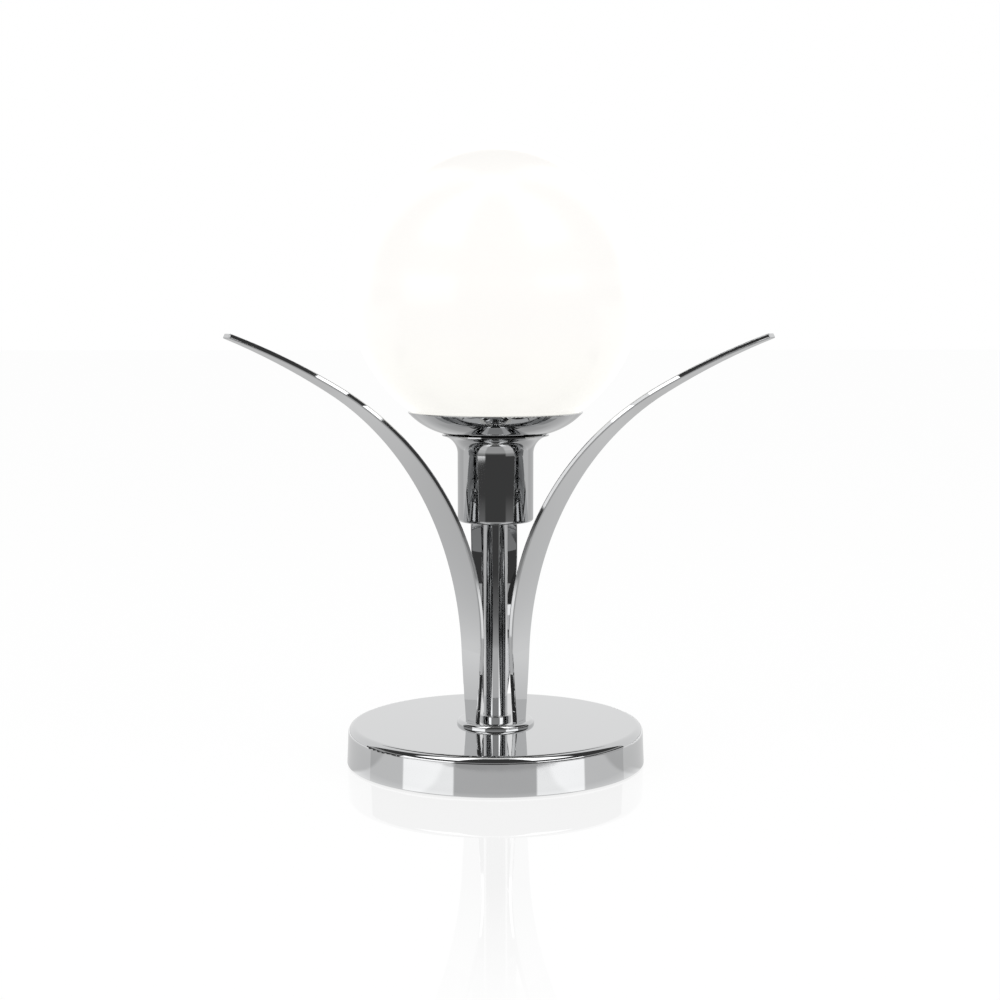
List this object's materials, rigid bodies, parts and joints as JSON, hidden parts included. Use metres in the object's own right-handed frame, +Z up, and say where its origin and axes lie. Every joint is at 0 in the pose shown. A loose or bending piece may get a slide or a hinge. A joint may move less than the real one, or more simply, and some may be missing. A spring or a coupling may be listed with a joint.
{
  "type": "globe table lamp",
  "caption": "Table lamp: an opal glass globe on a polished stem, a round weighted base, and slender leaf blades that rise from the base and curve outward round the globe.",
  "frame": {"origin": "on the stem's axis, on the surface that the lamp stands on", "axes": "+Z up along the stem, +Y to the back, where one leaf blade and the cord inlet are, +X to the right seen from the front"},
  "size_m": [0.2108, 0.1826, 0.2562],
  "materials": {
    "chrome_plate": "polished chrome plate on steel",
    "opal_glass": "glossy white opal glass",
    "clear_glass": "thin clear glass",
    "ceramic": "white steatite ceramic, semi-matt",
    "cast_iron": "as cast, painted black",
    "foam_rubber": "matt black foam rubber",
    "clear_rubber": "translucent silicone rubber",
    "zinc_steel": "zinc plated steel",
    "aluminium": "turned aluminium",
    "brass": "plain brass",
    "black_plastic": "fine grained",
    "ivory_plastic": "smooth moulded",
    "white_plastic": "smooth moulded",
    "yellow_coating": "smooth silicone coating",
    "brown_insulation": "smooth extruded",
    "blue_insulation": "smooth extruded",
    "green_insulation": "smooth extruded, yellow stripe"
  },
  "bodies": {
    "stand": {"base_cover": "chrome_plate", "base_weight": "cast_iron", "base_pad": "foam_rubber", "cord_inlet_bush": "black_plastic", "base_nut": "zinc_steel", "base_washer": "zinc_steel", "earth_lug": "brass", "earth_lead": "green_insulation", "terminal_block": "ivory_plastic", "terminal_screws": "zinc_steel", "rosette": "chrome_plate", "leaf_back": "chrome_plate", "leaf_left": "chrome_plate", "leaf_right": "chrome_plate", "stem_sleeve": "chrome_plate", "tie_tube": "zinc_steel", "holder_cup": "chrome_plate", "holder_sleeve": "zinc_steel", "cup_washer": "zinc_steel", "cup_nut": "zinc_steel", "gallery_dish": "chrome_plate", "thread_ring": "zinc_steel", "lampholder_bracket": "zinc_steel", "lampholder_body": "ceramic", "lampholder_contacts": "brass", "lampholder_screws": "zinc_steel", "live_lead": "brown_insulation", "neutral_lead": "blue_insulation"},
    "gasket": {"neck_gasket": "clear_rubber"},
    "globe": {"glass_globe": "opal_glass", "neck_collar": "aluminium"},
    "bulb": {"bulb_base": "white_plastic", "bulb_dome": "clear_glass", "bulb_pins": "zinc_steel", "bulb_light_strip": "yellow_coating"}
  },
  "joints": [
    {"name": "globe_lift", "type": "slide", "parent": "stand", "child": "gasket", "axis": [0, 0, 1], "range_m": [0, 0.1]},
    {"name": "globe_unscrew", "type": "hinge", "parent": "gasket", "child": "globe", "pos_m": [0, 0, 0.14], "axis": [0, 0, 1], "range_deg": [0, 540]},
    {"name": "bulb_pull", "type": "slide", "parent": "stand", "child": "bulb", "axis": [0, 0, 1], "range_m": [0, 0.012]}
  ]
}
